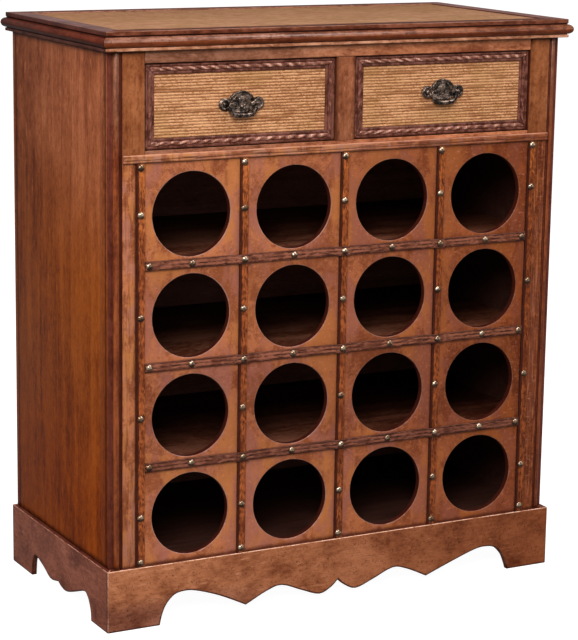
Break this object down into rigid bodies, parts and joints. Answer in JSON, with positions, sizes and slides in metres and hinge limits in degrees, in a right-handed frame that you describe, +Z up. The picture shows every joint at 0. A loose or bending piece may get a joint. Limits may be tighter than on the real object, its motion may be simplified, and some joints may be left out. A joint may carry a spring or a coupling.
{
  "type": "wine chest",
  "caption": "Wooden wine chest with a grid of round bottle holes in a strapped leather front, two woven drawers with bail pulls, and a scalloped plinth.",
  "frame": {"origin": "on the floor, at the centre of the chest's outer box", "axes": "+Z up, the front with the bottle holes and drawers faces -Y, +X to the right seen from the front"},
  "size_m": [0.776, 0.391, 0.864],
  "materials": {
    "case_wood": "stained, rubbed and waxed reddish brown",
    "moulding_wood": "stained, with worn lighter edges",
    "plinth_wood": "stained and mottled, with worn edges",
    "inner_wood": "dark stained secondary wood",
    "dark_trim": "dark, rope carved",
    "panel_leather": "mottled tan leather over wood",
    "band_leather": "creased light tan leather",
    "strap_leather": "embossed brown leather with brass nails",
    "woven_reed": "woven golden tan reed",
    "antique_iron": "blackened antique casting"
  },
  "bodies": {
    "case": {"back_panel": "inner_wood", "base_board": "inner_wood", "bottle_panel": "panel_leather", "centre_stile": "case_wood", "corner_post_left": "case_wood", "corner_post_right": "case_wood", "drawer_deck": "case_wood", "drawer_guide_centre": "inner_wood", "drawer_guide_left": "inner_wood", "drawer_guide_right": "inner_wood", "left_side_panel": "case_wood", "right_side_panel": "case_wood", "mid_rail": "band_leather", "plinth_back": "plinth_wood", "plinth_front": "plinth_wood", "plinth_left": "plinth_wood", "plinth_right": "plinth_wood", "shelf_1": "inner_wood", "shelf_2": "inner_wood", "shelf_3": "inner_wood", "strap_horizontal_1": "strap_leather", "strap_horizontal_2": "strap_leather", "strap_horizontal_3": "strap_leather", "strap_vertical_1": "strap_leather", "strap_vertical_2": "strap_leather", "strap_vertical_3": "strap_leather", "strap_vertical_4": "strap_leather", "strap_vertical_5": "strap_leather", "top_board": "inner_wood", "top_frame_back": "moulding_wood", "top_frame_front": "moulding_wood", "top_frame_left": "moulding_wood", "top_frame_right": "moulding_wood", "top_rail": "case_wood", "top_weave": "woven_reed"},
    "drawer_left": {"drawer_left_front": "case_wood", "drawer_left_weave": "woven_reed", "drawer_left_trim_top": "dark_trim", "drawer_left_trim_bottom": "dark_trim", "drawer_left_trim_left": "dark_trim", "drawer_left_trim_right": "dark_trim", "drawer_left_side_left": "inner_wood", "drawer_left_side_right": "inner_wood", "drawer_left_back": "inner_wood", "drawer_left_bottom": "inner_wood", "pull_plate_left": "antique_iron"},
    "drawer_right": {"drawer_right_front": "case_wood", "drawer_right_weave": "woven_reed", "drawer_right_trim_top": "dark_trim", "drawer_right_trim_bottom": "dark_trim", "drawer_right_trim_left": "dark_trim", "drawer_right_trim_right": "dark_trim", "drawer_right_side_left": "inner_wood", "drawer_right_side_right": "inner_wood", "drawer_right_back": "inner_wood", "drawer_right_bottom": "inner_wood", "pull_plate_right": "antique_iron"},
    "bail_left": {"bail_left": "antique_iron"},
    "bail_right": {"bail_right": "antique_iron"}
  },
  "joints": [
    {"name": "drawer_left_slide", "type": "slide", "parent": "case", "child": "drawer_left", "axis": [0, -1, 0], "range_m": [0, 0.24]},
    {"name": "drawer_right_slide", "type": "slide", "parent": "case", "child": "drawer_right", "axis": [0, -1, 0], "range_m": [0, 0.24]},
    {"name": "bail_left_hinge", "type": "hinge", "parent": "drawer_left", "child": "bail_left", "pos_m": [-0.1675, -0.1826, 0.7573], "axis": [-1, 0, 0], "range_deg": [-3, 115]},
    {"name": "bail_right_hinge", "type": "hinge", "parent": "drawer_right", "child": "bail_right", "pos_m": [0.1675, -0.1826, 0.7621], "axis": [-1, 0, 0], "range_deg": [-3, 115]}
  ]
}
